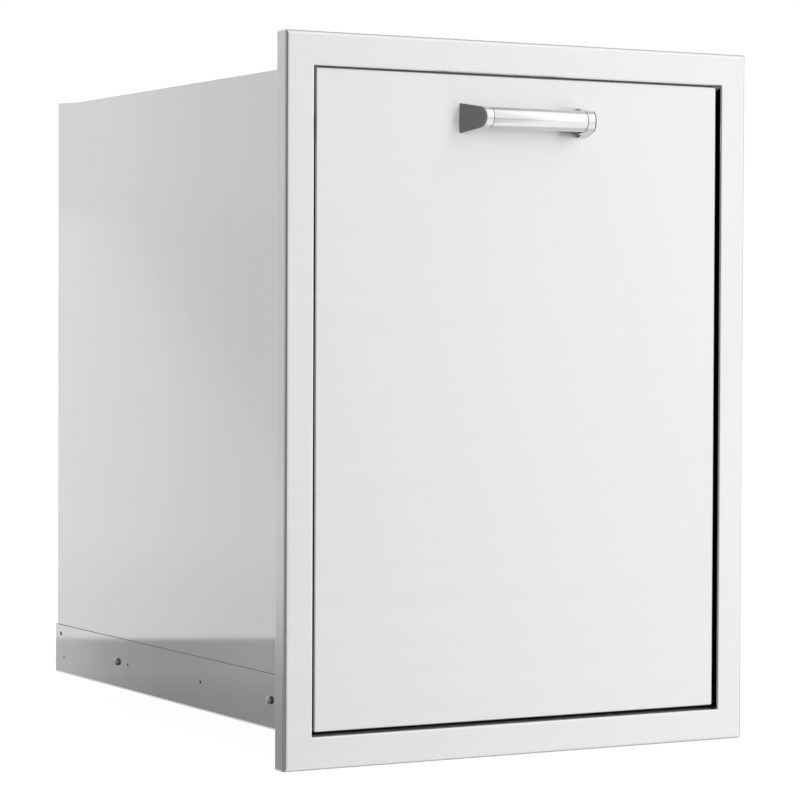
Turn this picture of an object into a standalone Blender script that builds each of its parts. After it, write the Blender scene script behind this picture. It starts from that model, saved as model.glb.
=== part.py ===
"""Built-in stainless-steel pull-out bin cabinet, drawn closed.

Metres, +Z up, +X to the cabinet's right as seen from the front, +Y towards its back.
The origin is the middle of the box's underside, where it rests on the sill of the cut-out.
"""

import math

import bmesh
import bpy
from mathutils import Matrix, Vector

MM = 0.001

# ---------------------------------------------------------------- driving dimensions
GAP = 0.3 * MM                      # left between pieces that touch
SHEET = 1.2 * MM                    # stainless sheet of the cabinet and tray
MERGE = 0.05 * MM                   # merge distance, far below any real feature

BOX_DEPTH = 596 * MM                # behind the frame's back face
BOX_TOP_Z = 625.4 * MM
PANEL_X = 230.7 * MM                # outer face of a side panel, from the middle
REAR_FLANGE = 18 * MM               # side panel's flange, bent round the back
EAR_RISE = 2.4 * MM                 # the side panels' rear top corners stand up a little
EAR_LENGTH = 55 * MM
PANEL_RADIUS = 2.5 * MM             # bend at the side panels' rear edges
PANEL_SLOTS_Z = (310 * MM, 551 * MM, 617.5 * MM)
PANEL_SLOT_LENGTH = 5.5 * MM        # upright slots cut through the rear bend
PANEL_SLOT_WIDTH = 1.4 * MM
TOP_HEM = 15 * MM                   # the top panel's turned-down edge
TOP_RADIUS = 2 * MM
PAN_RADIUS = 1.8 * MM
SKIRT_HEIGHT = 52.9 * MM            # base pan's upturned sides
SKIRT_HOLES = (
    # distance behind the box's middle, height, radius
    (281.9 * MM, 43.4 * MM, 2.4 * MM),
    (273.2 * MM, 18.1 * MM, 1.3 * MM),
    (98.5 * MM, 27.4 * MM, 1.5 * MM),
    (-81.2 * MM, 28.3 * MM, 1.7 * MM),
)

FRAME_WIDTH = 514.4 * MM
FRAME_HEIGHT = 685.8 * MM
FRAME_DEPTH = 20 * MM
FRAME_BELOW_BOX = 29.3 * MM         # the frame hangs below the box's underside
FRAME_RADIUS = 4 * MM               # the outer front bend
FRAME_INNER_RADIUS = 1.8 * MM       # the other bends
FRAME_CORNER = 1.5 * MM
FRAME_LEAST_CORNER = 0.5 * MM
FRAME_BEND_STEPS = 8
FRAME_OUTER_LIP = 12 * MM
FRAME_INNER_LIP = 8 * MM
OPENING_WIDTH = 455.2 * MM
OPENING_BOTTOM_Z = 1.7 * MM
OPENING_TOP_Z = 624.7 * MM

DOOR_WIDTH = 448.6 * MM
DOOR_BOTTOM_Z = 5.6 * MM
DOOR_TOP_Z = 623.4 * MM
DOOR_RECESS = 3.8 * MM              # behind the frame's front plane
DOOR_THICKNESS = 16.2 * MM
DOOR_SHEET = 1.0 * MM
DOOR_RADIUS = 1.6 * MM
DOOR_RETURN = 15 * MM
LINER_RETURN = 12 * MM

HANDLE_Z = 581.6 * MM
HANDLE_RADIUS = 10.3 * MM
HANDLE_AXIS_OUT = 23.8 * MM         # bar's axis in front of the door
HANDLE_SEAM_X = 52.9 * MM           # where the tube meets its brackets
HANDLE_NOSE_X = 61.6 * MM           # bracket's outer face at the front of the bar
HANDLE_BASE_X = 71.8 * MM           # and at the door
HANDLE_BASE_HEIGHT = 28.6 * MM
HANDLE_LEG = 9.8 * MM               # bracket's thickness along the bar
HANDLE_WALL = 1.5 * MM
CAP_DEPTH = 1.5 * MM
FOOT_CORNER = 0.9 * MM              # cut off the bracket's foot, above and below
HANDLE_SCREW_X = 64.8 * MM
HANDLE_SCREW_HOLE = 2.3 * MM
SPIGOT_LENGTH = 14 * MM             # how far a bracket reaches into the tube
NOSE_STEPS = 28
ROUND_STEPS = 48                    # facets round the bar
TUBE_EASE = 0.3 * MM

SLIDE_LENGTH = 550 * MM
SLIDE_FRONT_Y = -293.5 * MM
SLIDE_Z = 28.1 * MM                 # the slides' centre line
SLIDE_SCREWS_Y = (-238.5 * MM, 125.4 * MM)
TRAY_SCREWS_Y = (-218 * MM, 102 * MM)
CAGE_LENGTH = 180 * MM
CAGE_SHEET = 0.5 * MM
MEMBER_RADIUS = 1.4 * MM            # bend of a rolled slide member
CAGE_RADIUS = 0.7 * MM
# distance of a member's web and of its arms' ends in from the box's wall, and half its height
OUTER_MEMBER = (0.3 * MM, 11.5 * MM, 22.5 * MM)
MIDDLE_MEMBER = (4.3 * MM, 10.5 * MM, 17.8 * MM)
INNER_MEMBER = (12.9 * MM, 6.9 * MM, 13.2 * MM)
OUTER_CAGE = (3.4 * MM, 9.6 * MM, 19.8 * MM)
INNER_CAGE = (5.9 * MM, 10.2 * MM, 15.2 * MM)
SCREW_RADIUS = 2.4 * MM             # slide screws
NUT_FLATS = 8 * MM
NUT_HEIGHT = 3.4 * MM
TRAY_SCREW_RADIUS = 2 * MM
TRAY_SCREW_HOLE = 2.3 * MM

TRAY_X = 216.3 * MM                 # outer face of the tray's side, from the middle
TRAY_Z = 4.5 * MM
TRAY_HEIGHT = 60 * MM
TRAY_LENGTH = 545 * MM
BRACE_SHEET = 1.5 * MM
BRACE_TOP_Z = 330 * MM
BRACE_FLANGE = 22 * MM
BRACE_FOOT = 90 * MM
BRACE_HEAD = 24 * MM
BRACE_SHOULDER = 30 * MM            # above the tray's wall
BRACE_HOLE = 3 * MM
DIVIDER_WIDTH = 8 * MM
DIVIDER_HEIGHT = 56 * MM

BIN_HEIGHT = 460 * MM
BIN_WIDTH = 400 * MM                # across the rim
BIN_LENGTH = 256 * MM
BIN_WALL = 2.5 * MM
BIN_RIM = 10 * MM
BIN_LIP = 14 * MM                   # the rim turns down by this much
BIN_TAPER = 14 * MM                 # each side draws in by this much down to the base
BIN_CORNER = 30 * MM
BIN_CHAMFER = 6 * MM

# ---------------------------------------------------------------- worked-out places
FRAME_BACK_Y = -BOX_DEPTH / 2
FRAME_FRONT_Y = FRAME_BACK_Y - FRAME_DEPTH
BOX_FRONT_Y = FRAME_BACK_Y + GAP
BOX_REAR_Y = BOX_DEPTH / 2
PANEL_REAR_Y = BOX_REAR_Y - SHEET - GAP
PANEL_INSIDE_X = PANEL_X - SHEET
DOOR_FRONT_Y = FRAME_FRONT_Y + DOOR_RECESS
DOOR_BACK_Y = DOOR_FRONT_Y + DOOR_THICKNESS
TRAY_FRONT_Y = DOOR_BACK_Y + GAP
TRAY_REAR_Y = TRAY_FRONT_Y + TRAY_LENGTH
TRAY_FLOOR_Z = TRAY_Z + SHEET
HANDLE_Y = DOOR_FRONT_Y - HANDLE_AXIS_OUT
BAY_FRONT_Y = TRAY_FRONT_Y + BRACE_SHEET
BAY_REAR_Y = TRAY_REAR_Y - SHEET
DIVIDER_Y = (BAY_FRONT_Y + BAY_REAR_Y) / 2

OBJECT_COLLECTION = "pull_out_bin_cabinet"
CUTTER_COLLECTION = "cutters"


# ---------------------------------------------------------------- scene and materials
def clear_scene():
    for obj in list(bpy.data.objects):
        bpy.data.objects.remove(obj, do_unlink=True)


def new_collection(name):
    collection = bpy.data.collections.new(name)
    bpy.context.scene.collection.children.link(collection)
    return collection


def material(name, color, roughness, metallic):
    result = bpy.data.materials.new(name)
    result.use_nodes = True
    shader = result.node_tree.nodes["Principled BSDF"]
    shader.inputs["Base Color"].default_value = (*color, 1.0)
    shader.inputs["Roughness"].default_value = roughness
    shader.inputs["Metallic"].default_value = metallic
    return result


def add_piece(name, mesh, look, parent, at):
    """Link a mesh drawn in world coordinates as a piece whose own origin is at `at`."""
    at = Vector(at)
    mesh.transform(Matrix.Translation(-at))
    mesh.name = name
    mesh.materials.clear()
    mesh.materials.append(look)
    piece = bpy.data.objects.new(name, mesh)
    piece.parent = parent
    piece.location = at - (parent.location if parent else Vector())
    parts.objects.link(piece)
    return piece


def slide_empty(name, at):
    """An empty on a sliding body's axis, to carry the pieces that move together."""
    empty = bpy.data.objects.new(name, None)
    empty.location = at
    parts.objects.link(empty)
    return empty


def smooth(mesh, angle=35):
    mesh.shade_smooth()
    mesh.set_sharp_from_angle(angle=math.radians(angle))


# ---------------------------------------------------------------- shapes
def fold(name, loops, look, parent, at, thickness, radius=0.0, floor=False, closed=False, flip=False):
    """A folded sheet: rows of points joined by extrusion, bends rounded, then thickened inwards."""
    bm = bmesh.new()
    count = len(loops[0])
    ring = [bm.verts.new(point) for point in loops[0]]
    steps = count if closed else count - 1
    row = [bm.edges.new((ring[i], ring[(i + 1) % count])) for i in range(steps)]
    if floor:
        bm.faces.new(ring)
    here = list(ring)
    for loop in loops[1:]:
        made = bmesh.ops.extrude_edge_only(bm, edges=row)["geom"]
        fresh = [item for item in made if isinstance(item, bmesh.types.BMVert)]
        following = []
        for vert in here:
            following.append(min(fresh, key=lambda other: (other.co - vert.co).length))
        for vert, point in zip(following, loop):
            vert.co = point
        row = [bm.edges.get((following[i], following[(i + 1) % count])) for i in range(steps)]
        here = following
    bmesh.ops.recalc_face_normals(bm, faces=bm.faces)
    if flip:
        bmesh.ops.reverse_faces(bm, faces=bm.faces)
    mesh = bpy.data.meshes.new(name)
    bm.to_mesh(mesh)
    bm.free()
    piece = add_piece(name, mesh, look, parent, at)
    if radius:
        bevel = piece.modifiers.new("bends", "BEVEL")
        bevel.width = radius
        bevel.segments = 4
        bevel.limit_method = "ANGLE"
        bevel.angle_limit = math.radians(40)
    solid = piece.modifiers.new("sheet", "SOLIDIFY")
    solid.thickness = thickness
    solid.offset = -1.0
    solid.use_even_offset = True
    return piece


def rectangle(x0, x1, z0, z1, y):
    return [Vector((x0, y, z0)), Vector((x1, y, z0)), Vector((x1, y, z1)), Vector((x0, y, z1))]


def rounded_rectangle(width, length, corner, centre, steps=5):
    """Corner arcs of a rectangle lying flat at a height, counter-clockwise from above."""
    points = []
    for quarter in range(4):
        sx = (1, -1, -1, 1)[quarter]
        sy = (1, 1, -1, -1)[quarter]
        middle = centre + Vector((sx * (width / 2 - corner), sy * (length / 2 - corner), 0))
        for step in range(steps + 1):
            angle = math.radians(90) * (quarter + step / steps)
            points.append(middle + corner * Vector((math.cos(angle), math.sin(angle), 0)))
    return points


def turned_mesh(name, profile, steps):
    """Revolve (radius, height) points about Z; the profile runs down the outer side."""
    mesh = bpy.data.meshes.new(name)
    verts = [(radius, 0.0, height) for radius, height in profile]
    edges = [(i, i + 1) for i in range(len(profile) - 1)]
    if profile[0][0] > 0:
        edges.append((len(profile) - 1, 0))
    mesh.from_pydata(verts, edges, [])
    blank = bpy.data.objects.new(name, mesh)
    parts.objects.link(blank)
    screw = blank.modifiers.new("turn", "SCREW")
    screw.steps = steps
    screw.render_steps = steps
    screw.use_merge_vertices = True
    screw.merge_threshold = MERGE
    return baked(blank)


def baked(blank):
    """The evaluated mesh of a construction object, in world coordinates; the object is removed."""
    graph = bpy.context.evaluated_depsgraph_get()
    mesh = bpy.data.meshes.new_from_object(blank.evaluated_get(graph))
    mesh.transform(blank.matrix_world)
    bpy.data.objects.remove(blank, do_unlink=True)
    bm = bmesh.new()
    bm.from_mesh(mesh)
    bmesh.ops.remove_doubles(bm, verts=bm.verts, dist=MERGE)
    bmesh.ops.recalc_face_normals(bm, faces=bm.faces)
    bm.to_mesh(mesh)
    bm.free()
    return mesh


def plate_mesh(name, outlines, thickness):
    """Flat outlines in XY, the later ones holes, thickened from z = 0 up."""
    curve = bpy.data.curves.new(name, "CURVE")
    curve.dimensions = "2D"
    curve.fill_mode = "BOTH"
    curve.extrude = thickness / 2
    for outline in outlines:
        spline = curve.splines.new("POLY")
        spline.points.add(len(outline) - 1)
        for point, (u, v) in zip(spline.points, outline):
            point.co = (u, v, 0, 1)
        spline.use_cyclic_u = True
    blank = bpy.data.objects.new(name, curve)
    parts.objects.link(blank)
    mesh = baked(blank)
    bpy.data.curves.remove(curve)
    mesh.transform(Matrix.Translation((0, 0, thickness / 2)))
    return mesh


def circle(radius, steps=16, centre=(0.0, 0.0)):
    turn = 2 * math.pi / steps
    return [
        (centre[0] + radius * math.cos(i * turn), centre[1] + radius * math.sin(i * turn))
        for i in range(steps)
    ]


def along(direction, at):
    """Matrix that stands local +Z along a world direction, at a place."""
    rotation = Vector(direction).to_track_quat("Z", "Y").to_matrix().to_4x4()
    return Matrix.Translation(at) @ rotation


def mirrored(piece, name, parent):
    """The left-hand copy of a finished right-hand piece."""
    graph = bpy.context.evaluated_depsgraph_get()
    mesh = bpy.data.meshes.new_from_object(piece.evaluated_get(graph))
    mesh.transform(Matrix.Diagonal((-1, 1, 1, 1)) @ piece.matrix_world)
    mesh.flip_normals()
    centre = piece.matrix_world.translation
    return add_piece(name, mesh, piece.data.materials[0], parent, (-centre.x, centre.y, centre.z))


# ---------------------------------------------------------------- cutting
def combine(piece, mesh, operation):
    """Cut a mesh drawn in world coordinates from a piece, or join it on."""
    cutter = bpy.data.objects.new(piece.name + "_" + operation.lower(), mesh)
    cutter.hide_render = True
    cutter.display_type = "WIRE"
    cutters.objects.link(cutter)
    boolean = piece.modifiers.new(operation.lower(), "BOOLEAN")
    boolean.operation = operation
    boolean.object = cutter


def drill(piece, holes, steps=12):
    """Round through holes: (centre, direction, radius, length) each."""
    bm = bmesh.new()
    for centre, direction, radius, length in holes:
        bmesh.ops.create_cone(
            bm, cap_ends=True, segments=steps, radius1=radius, radius2=radius, depth=length,
            matrix=along(direction, centre))
    mesh = bpy.data.meshes.new(piece.name + "_holes")
    bm.to_mesh(mesh)
    bm.free()
    combine(piece, mesh, "DIFFERENCE")


# ---------------------------------------------------------------- cabinet
def window(box, by, y, corner):
    """A rounded rectangle standing in the plane at y: a box grown by an amount on every side."""
    width = box[1] - box[0] + 2 * by
    height = box[3] - box[2] + 2 * by
    centre = Vector(((box[0] + box[1]) / 2, (box[2] + box[3]) / 2, 0))
    flat = rounded_rectangle(width, height, corner, centre, 3)
    return [Vector((point.x, y, point.y)) for point in flat]


def bend_loops(box, y, into_u, into_y, radius, corner, leg_first):
    """Loops round one bend of the frame's section; into_u and into_y point towards the bend's centre."""
    loops = []
    for step in range(FRAME_BEND_STEPS + 1):
        angle = math.radians(90) * step / FRAME_BEND_STEPS
        by = into_u * radius * (1 - math.cos(angle))
        at_y = y + into_y * radius * (1 - math.sin(angle))
        loops.append(window(box, by, at_y, max(corner + by, FRAME_LEAST_CORNER)))
    return loops if leg_first else loops[::-1]


def face_frame():
    outer = (-FRAME_WIDTH / 2, FRAME_WIDTH / 2, -FRAME_BELOW_BOX, FRAME_HEIGHT - FRAME_BELOW_BOX)
    inner = (-OPENING_WIDTH / 2, OPENING_WIDTH / 2, OPENING_BOTTOM_Z, OPENING_TOP_Z)
    loops = [window(outer, -FRAME_OUTER_LIP, FRAME_BACK_Y, FRAME_LEAST_CORNER)]
    loops += bend_loops(outer, FRAME_BACK_Y, -1, -1, FRAME_INNER_RADIUS, FRAME_CORNER, False)
    loops += bend_loops(outer, FRAME_FRONT_Y, -1, 1, FRAME_RADIUS, FRAME_CORNER, True)
    loops += bend_loops(inner, FRAME_FRONT_Y, 1, 1, FRAME_INNER_RADIUS, FRAME_LEAST_CORNER, False)
    loops += bend_loops(inner, FRAME_BACK_Y, 1, -1, FRAME_INNER_RADIUS, FRAME_LEAST_CORNER, True)
    loops.append(window(inner, FRAME_INNER_LIP, FRAME_BACK_Y, FRAME_INNER_LIP))
    middle = (0, FRAME_BACK_Y, (OPENING_BOTTOM_Z + OPENING_TOP_Z) / 2)
    fold("face_frame", loops, steel, None, middle, SHEET, closed=True)


def wall_holes(side):
    """Holes through the skirt and side panel on one side: the slide screws and four small ones."""
    holes = []
    for y in SLIDE_SCREWS_Y:
        holes.append(((side * PANEL_X, y, SLIDE_Z), (1, 0, 0), SCREW_RADIUS + GAP, 12 * MM))
    for y, z, radius in SKIRT_HOLES:
        holes.append(((side * PANEL_X, y, z), (1, 0, 0), radius, 12 * MM))
    return holes


def side_panel():
    bend_y = PANEL_REAR_Y
    rows = [
        (PANEL_X, BOX_FRONT_Y, 0.0),
        (PANEL_X, bend_y - EAR_LENGTH, 0.0),
        (PANEL_X, bend_y, EAR_RISE),
        (PANEL_X - REAR_FLANGE, bend_y, EAR_RISE),
    ]
    low = [Vector((x, y, SHEET + GAP)) for x, y, rise in rows]
    high = [Vector((x, y, BOX_TOP_Z + rise)) for x, y, rise in rows]
    middle = (PANEL_X, 0, BOX_TOP_Z / 2)
    panel = fold("side_panel_right", [low, high], steel, None, middle, SHEET, PANEL_RADIUS)
    drill(panel, wall_holes(1))
    slot_bend(panel, bend_y)
    return panel


def slot_bend(panel, bend_y):
    """Short upright slots through the side panel's rear bend."""
    bm = bmesh.new()
    turned = Matrix.Rotation(math.radians(45), 4, "Z")
    size = Matrix.Diagonal((4 * PANEL_RADIUS, PANEL_SLOT_WIDTH, PANEL_SLOT_LENGTH, 1))
    for z in PANEL_SLOTS_Z:
        place = Matrix.Translation((PANEL_X - PANEL_RADIUS, bend_y - PANEL_RADIUS, z))
        bmesh.ops.create_cube(bm, size=1.0, matrix=place @ turned @ size)
    mesh = bpy.data.meshes.new("side_panel_slots")
    bm.to_mesh(mesh)
    bm.free()
    combine(panel, mesh, "DIFFERENCE")


def rear_panel():
    half = PANEL_INSIDE_X - PANEL_RADIUS
    y = PANEL_REAR_Y - SHEET - GAP
    low = [Vector((-half, y, SHEET + GAP)), Vector((half, y, SHEET + GAP))]
    high = [Vector((-half, y, BOX_TOP_Z - GAP)), Vector((half, y, BOX_TOP_Z - GAP))]
    fold("rear_panel", [low, high], steel, None, (0, y, BOX_TOP_Z / 2), SHEET)


def top_panel():
    half = PANEL_INSIDE_X - GAP
    rear = PANEL_REAR_Y - 2 * (SHEET + GAP)
    top = BOX_TOP_Z - GAP
    plan = [(-half, BOX_FRONT_Y), (-half, rear), (half, rear), (half, BOX_FRONT_Y)]
    floor = [Vector((x, y, top)) for x, y in plan]
    hem = [Vector((x, y, top - TOP_HEM)) for x, y in plan]
    fold("top_panel", [floor, hem], steel, None, (0, 0, top), SHEET, TOP_RADIUS, floor=True, closed=True)


def base_pan():
    half = PANEL_X + GAP + SHEET
    plan = [(-half, BOX_FRONT_Y), (-half, BOX_REAR_Y), (half, BOX_REAR_Y), (half, BOX_FRONT_Y)]
    floor = [Vector((x, y, 0)) for x, y in plan]
    skirt = [Vector((x, y, SKIRT_HEIGHT)) for x, y in plan]
    pan = fold("base_pan", [floor, skirt], steel, None, (0, 0, 0), SHEET, PAN_RADIUS, floor=True)
    drill(pan, wall_holes(1) + wall_holes(-1))


# ---------------------------------------------------------------- slides
def channel(name, section, length, parent, sheet, radius):
    """A C-channel along Y on the right side."""
    web, arm, half_height = section
    x_web = PANEL_INSIDE_X - web
    x_arm = PANEL_INSIDE_X - arm
    corners = [
        (x_arm, SLIDE_Z - half_height),
        (x_web, SLIDE_Z - half_height),
        (x_web, SLIDE_Z + half_height),
        (x_arm, SLIDE_Z + half_height),
    ]
    middle_y = SLIDE_FRONT_Y + SLIDE_LENGTH / 2
    near = [Vector((x, middle_y - length / 2, z)) for x, z in corners]
    far = [Vector((x, middle_y + length / 2, z)) for x, z in corners]
    at = (x_web, middle_y, SLIDE_Z)
    return fold(name, [near, far], zinc, parent, at, sheet, radius)


def flat_head_screw(name, head_radius, head_height, shank_radius, length, place, direction, parent):
    """A low round-headed screw: the head's underside is at `place`, the shank points along direction."""
    profile = [
        (0.0, length),
        (shank_radius - 0.4 * MM, length),
        (shank_radius, length - 0.5 * MM),
        (shank_radius, 0.0),
        (head_radius, 0.0),
        (head_radius, -0.5 * head_height),
        (head_radius * 0.75, -head_height),
        (0.0, -head_height),
    ]
    mesh = turned_mesh(name, profile, 16)
    smooth(mesh)
    mesh.transform(along(direction, place))
    return add_piece(name, mesh, zinc, parent, place)


def hex_nut(name, place, direction):
    corner = NUT_FLATS / math.sqrt(3)
    mesh = plate_mesh(name, [circle(corner, 6), circle(SCREW_RADIUS + GAP, 16)], NUT_HEIGHT)
    mesh.transform(along(direction, place))
    return add_piece(name, mesh, zinc, None, place)


def slide_hardware(outer):
    drill(outer, [((PANEL_INSIDE_X, y, SLIDE_Z), (1, 0, 0), SCREW_RADIUS + GAP, 10 * MM)
                  for y in SLIDE_SCREWS_Y])
    for end, y in zip(("front", "rear"), SLIDE_SCREWS_Y):
        head = (PANEL_INSIDE_X - 1.8 * MM, y, SLIDE_Z)
        screw = flat_head_screw("slide_screw_right_" + end, 4.2 * MM, 1.1 * MM, SCREW_RADIUS,
                                8.2 * MM, head, (1, 0, 0), None)
        seat = (PANEL_X + SHEET + 2 * GAP, y, SLIDE_Z)
        nut = hex_nut("slide_nut_right_" + end, seat, (1, 0, 0))
        mirrored(screw, "slide_screw_left_" + end, None)
        mirrored(nut, "slide_nut_left_" + end, None)


def slides(drawer):
    outer = channel("slide_outer_right", OUTER_MEMBER, SLIDE_LENGTH, None, SHEET, MEMBER_RADIUS)
    slide_hardware(outer)
    mirrored(outer, "slide_outer_left", None)

    inner = channel("slide_inner_right", INNER_MEMBER, SLIDE_LENGTH, drawer, SHEET, MEMBER_RADIUS)
    drill(inner, [((TRAY_X + SHEET, y, SLIDE_Z), (1, 0, 0), TRAY_SCREW_HOLE, 6 * MM) for y in TRAY_SCREWS_Y])
    mirrored(inner, "slide_inner_left", drawer)
    for end, y in zip(("front", "rear"), TRAY_SCREWS_Y):
        head = (PANEL_INSIDE_X - 11.4 * MM, y, SLIDE_Z)
        screw = flat_head_screw("tray_screw_right_" + end, 4 * MM, 1.4 * MM, TRAY_SCREW_RADIUS,
                                5.4 * MM, head, (-1, 0, 0), drawer)
        mirrored(screw, "tray_screw_left_" + end, drawer)

    carriages = (
        ("slide_middle", MIDDLE_MEMBER, SLIDE_LENGTH, SHEET, MEMBER_RADIUS),
        ("ball_cage_outer", OUTER_CAGE, CAGE_LENGTH, CAGE_SHEET, CAGE_RADIUS),
        ("ball_cage_inner", INNER_CAGE, CAGE_LENGTH, CAGE_SHEET, CAGE_RADIUS),
    )
    for name, section, length, sheet, radius in carriages:
        web_x = PANEL_INSIDE_X - section[0]
        travel = slide_empty(name + "_right_travel", (web_x, 0, SLIDE_Z))
        piece = channel(name + "_right", section, length, travel, sheet, radius)
        travel = slide_empty(name + "_left_travel", (-web_x, 0, SLIDE_Z))
        mirrored(piece, name + "_left", travel)


# ---------------------------------------------------------------- drawer front
def handle_screw_holes(y, length):
    places = [(side * HANDLE_SCREW_X, y, HANDLE_Z) for side in (1, -1)]
    return [(place, (0, 1, 0), HANDLE_SCREW_HOLE, length) for place in places]


def door_skin(drawer):
    half = DOOR_WIDTH / 2
    loops = [
        rectangle(-half, half, DOOR_BOTTOM_Z, DOOR_TOP_Z, DOOR_FRONT_Y),
        rectangle(-half, half, DOOR_BOTTOM_Z, DOOR_TOP_Z, DOOR_FRONT_Y + DOOR_RETURN),
    ]
    middle = (0, DOOR_FRONT_Y, (DOOR_BOTTOM_Z + DOOR_TOP_Z) / 2)
    skin = fold("door_skin", loops, steel, drawer, middle, DOOR_SHEET, DOOR_RADIUS, True, True)
    drill(skin, handle_screw_holes(DOOR_FRONT_Y, 6 * MM))


def door_liner(drawer):
    inset = DOOR_SHEET + GAP
    half = DOOR_WIDTH / 2 - inset
    low = DOOR_BOTTOM_Z + inset
    high = DOOR_TOP_Z - inset
    loops = [
        rectangle(-half, half, low, high, DOOR_BACK_Y),
        rectangle(-half, half, low, high, DOOR_BACK_Y - LINER_RETURN),
    ]
    middle = (0, DOOR_BACK_Y, (low + high) / 2)
    liner = fold("door_liner", loops, steel, drawer, middle, DOOR_SHEET, DOOR_RADIUS, True, True)
    drill(liner, handle_screw_holes(DOOR_BACK_Y, 6 * MM))


# ---------------------------------------------------------------- handle
def bracket_outline(base_y):
    """Side view of a bracket: a round nose about the bar, widening straight to its foot."""
    foot = HANDLE_BASE_HEIGHT / 2
    reach = base_y - HANDLE_Y
    start = math.atan2(foot, reach) + math.acos(HANDLE_RADIUS / math.hypot(foot, reach))
    corner = FOOT_CORNER
    points = [(base_y, -foot + corner), (base_y, foot - corner), (base_y - corner, foot)]
    for step in range(NOSE_STEPS + 1):
        angle = start + (2 * math.pi - 2 * start) * step / NOSE_STEPS
        points.append((HANDLE_Y + HANDLE_RADIUS * math.cos(angle), HANDLE_RADIUS * math.sin(angle)))
    points.append((base_y - corner, -foot))
    return points


def flare():
    """How far a bracket's faces move out along X for each step back along Y."""
    return (HANDLE_BASE_X - HANDLE_NOSE_X) / (HANDLE_AXIS_OUT + HANDLE_RADIUS)


def outer_face_x(y):
    return HANDLE_NOSE_X + flare() * (y - (HANDLE_Y - HANDLE_RADIUS))


def slanted(mesh, outside):
    """Stand a plate drawn in (y, z) up along X, its outer side `outside` from the flared face."""
    turn = Matrix(((0, 0, 1, 0), (1, 0, 0, 0), (0, 1, 0, HANDLE_Z), (0, 0, 0, 1)))
    shear = Matrix.Identity(4)
    shear[0][1] = flare()
    shear[0][3] = outer_face_x(0) + outside
    mesh.transform(shear @ turn)


def handle_bracket(drawer):
    foot_y = DOOR_FRONT_Y - GAP
    straight = plate_mesh("handle_bracket", [bracket_outline(foot_y)], 24 * MM)
    straight.transform(Matrix(((0, 0, 1, HANDLE_SEAM_X), (1, 0, 0, 0), (0, 1, 0, HANDLE_Z), (0, 0, 0, 1))))
    at = (HANDLE_NOSE_X, HANDLE_Y, HANDLE_Z)
    bracket = add_piece("handle_bracket_right", straight, bright, drawer, at)

    beyond = plate_mesh("beyond", [circle(40 * MM, 4, (HANDLE_Y, 0))], 40 * MM)
    slanted(beyond, -CAP_DEPTH)
    combine(bracket, beyond, "DIFFERENCE")

    back_y = HANDLE_Y + HANDLE_RADIUS
    wedge = [
        (HANDLE_SEAM_X - 5 * MM, back_y),
        (outer_face_x(back_y) - HANDLE_LEG, back_y),
        (outer_face_x(foot_y + 5 * MM) - HANDLE_LEG, foot_y + 5 * MM),
        (HANDLE_SEAM_X - 5 * MM, foot_y + 5 * MM),
    ]
    between = plate_mesh("between", [wedge], 40 * MM)
    between.transform(Matrix.Translation((0, 0, HANDLE_Z - 20 * MM)))
    combine(bracket, between, "DIFFERENCE")

    spigot_radius = HANDLE_RADIUS - HANDLE_WALL - GAP
    profile = [(0, 0), (spigot_radius, 0), (spigot_radius, -SPIGOT_LENGTH), (0, -SPIGOT_LENGTH)]
    spigot = turned_mesh("spigot", profile, ROUND_STEPS)
    spigot.transform(along((1, 0, 0), (HANDLE_SEAM_X + 4 * MM, HANDLE_Y, HANDLE_Z)))
    combine(bracket, spigot, "UNION")
    drill(bracket, [((HANDLE_SCREW_X, foot_y, HANDLE_Z), (0, 1, 0), HANDLE_SCREW_HOLE, 14 * MM)])
    mirrored(bracket, "handle_bracket_left", drawer)


def handle_cap(drawer):
    mesh = plate_mesh("handle_cap", [bracket_outline(DOOR_FRONT_Y - GAP)], CAP_DEPTH - GAP)
    slanted(mesh, GAP - CAP_DEPTH)
    smooth(mesh)
    at = (outer_face_x(HANDLE_Y), HANDLE_Y, HANDLE_Z)
    cap = add_piece("handle_cap_right", mesh, dark, drawer, at)
    mirrored(cap, "handle_cap_left", drawer)


def handle_tube(drawer):
    half = HANDLE_SEAM_X - GAP
    inside = HANDLE_RADIUS - HANDLE_WALL
    profile = [
        (inside, half),
        (HANDLE_RADIUS - TUBE_EASE, half),
        (HANDLE_RADIUS, half - TUBE_EASE),
        (HANDLE_RADIUS, TUBE_EASE - half),
        (HANDLE_RADIUS - TUBE_EASE, -half),
        (inside, -half),
    ]
    mesh = turned_mesh("handle_tube", profile, ROUND_STEPS)
    smooth(mesh)
    at = (0, HANDLE_Y, HANDLE_Z)
    mesh.transform(along((1, 0, 0), at))
    add_piece("handle_tube", mesh, bright, drawer, at)


def handle_screws(drawer):
    seat = (HANDLE_SCREW_X, DOOR_BACK_Y + GAP, HANDLE_Z)
    screw = flat_head_screw("handle_screw_right", 4 * MM, 2.2 * MM, 2 * MM, 22 * MM,
                            seat, (0, -1, 0), drawer)
    mirrored(screw, "handle_screw_left", drawer)


# ---------------------------------------------------------------- tray and bins
def bin_tray(drawer):
    plan = [(-TRAY_X, TRAY_FRONT_Y), (-TRAY_X, TRAY_REAR_Y), (TRAY_X, TRAY_REAR_Y), (TRAY_X, TRAY_FRONT_Y)]
    floor = [Vector((x, y, TRAY_Z)) for x, y in plan]
    wall = [Vector((x, y, TRAY_Z + TRAY_HEIGHT)) for x, y in plan]
    at = (0, TRAY_FRONT_Y, TRAY_Z)
    tray = fold("bin_tray", [floor, wall], steel, drawer, at, SHEET, PAN_RADIUS, floor=True)
    holes = []
    for side in (1, -1):
        for y in TRAY_SCREWS_Y:
            holes.append(((side * TRAY_X, y, SLIDE_Z), (1, 0, 0), TRAY_SCREW_HOLE, 8 * MM))
    drill(tray, holes)


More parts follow.
